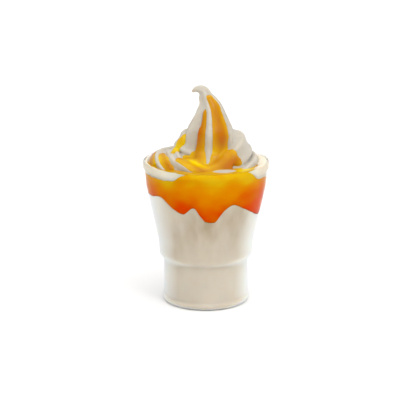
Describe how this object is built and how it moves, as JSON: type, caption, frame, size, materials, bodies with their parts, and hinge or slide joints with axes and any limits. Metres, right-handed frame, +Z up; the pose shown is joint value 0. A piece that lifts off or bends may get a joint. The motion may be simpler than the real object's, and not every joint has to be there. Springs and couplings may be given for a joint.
{
  "type": "mango sundae in a clear plastic cup",
  "caption": "Soft-serve sundae in a clear stepped plastic cup, with mango sauce hanging in drips down the wall and a fluted swirl with a curled tip.",
  "frame": {"origin": "centre of the foot's underside, on the plane the cup stands on", "axes": "+Z up along the cup's axis, -Y towards the side that the picture shows, so the swirl's tip curls towards -X"},
  "size_m": [0.084, 0.084, 0.1466],
  "materials": {
    "clear_plastic": "clear gloss",
    "soft_serve": "soft satin",
    "mango_sauce": "wet gloss"
  },
  "bodies": {
    "root": {"cup": "clear_plastic", "soft_serve_fill": "soft_serve", "mango_sauce": "mango_sauce", "swirl": "soft_serve"}
  },
  "joints": []
}
